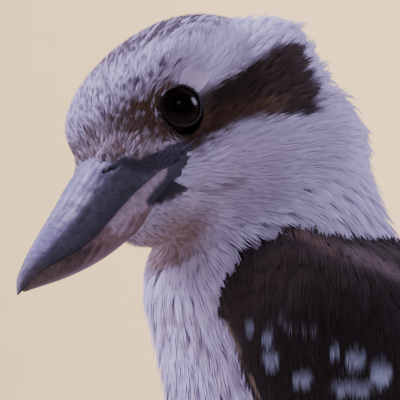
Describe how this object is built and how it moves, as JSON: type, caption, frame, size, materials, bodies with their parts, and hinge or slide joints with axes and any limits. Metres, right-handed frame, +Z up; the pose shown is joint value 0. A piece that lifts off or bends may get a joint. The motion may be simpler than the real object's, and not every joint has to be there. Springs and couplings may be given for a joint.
{
  "type": "laughing kookaburra",
  "caption": "Life-size laughing kookaburra standing on a flat floor, head lowered and turned to its left, wings folded and tail straight behind.",
  "frame": {"origin": "middle of the bounding box's floor, under the bird", "axes": "+X towards the tail, the bird faces -X; -Y is the bird's left side, which the picture shows; +Z up"},
  "size_m": [0.3384, 0.1192, 0.2293],
  "materials": {
    "white_plumage": "soft matte feathers",
    "brown_plumage": "matte feathers",
    "rufous_plumage": "matte feathers",
    "slate_horn": "smooth horn",
    "pale_horn": "smooth horn",
    "dark_eye": "wet gloss",
    "foot_skin": "scaly matte skin"
  },
  "bodies": {
    "root": {"claw_left_1": "slate_horn", "claw_left_2": "slate_horn", "claw_left_3": "slate_horn", "claw_left_4": "slate_horn", "claw_right_1": "slate_horn", "claw_right_2": "slate_horn", "claw_right_3": "slate_horn", "claw_right_4": "slate_horn", "eye_left": "dark_eye", "eye_right": "dark_eye", "foot_left": "foot_skin", "foot_right": "foot_skin", "head": "white_plumage", "lower_mandible": "pale_horn", "neck": "white_plumage", "tail": "rufous_plumage", "thigh_left": "white_plumage", "thigh_right": "white_plumage", "torso": "white_plumage", "upper_mandible": "slate_horn", "wing_left": "brown_plumage", "wing_right": "brown_plumage"}
  },
  "joints": []
}
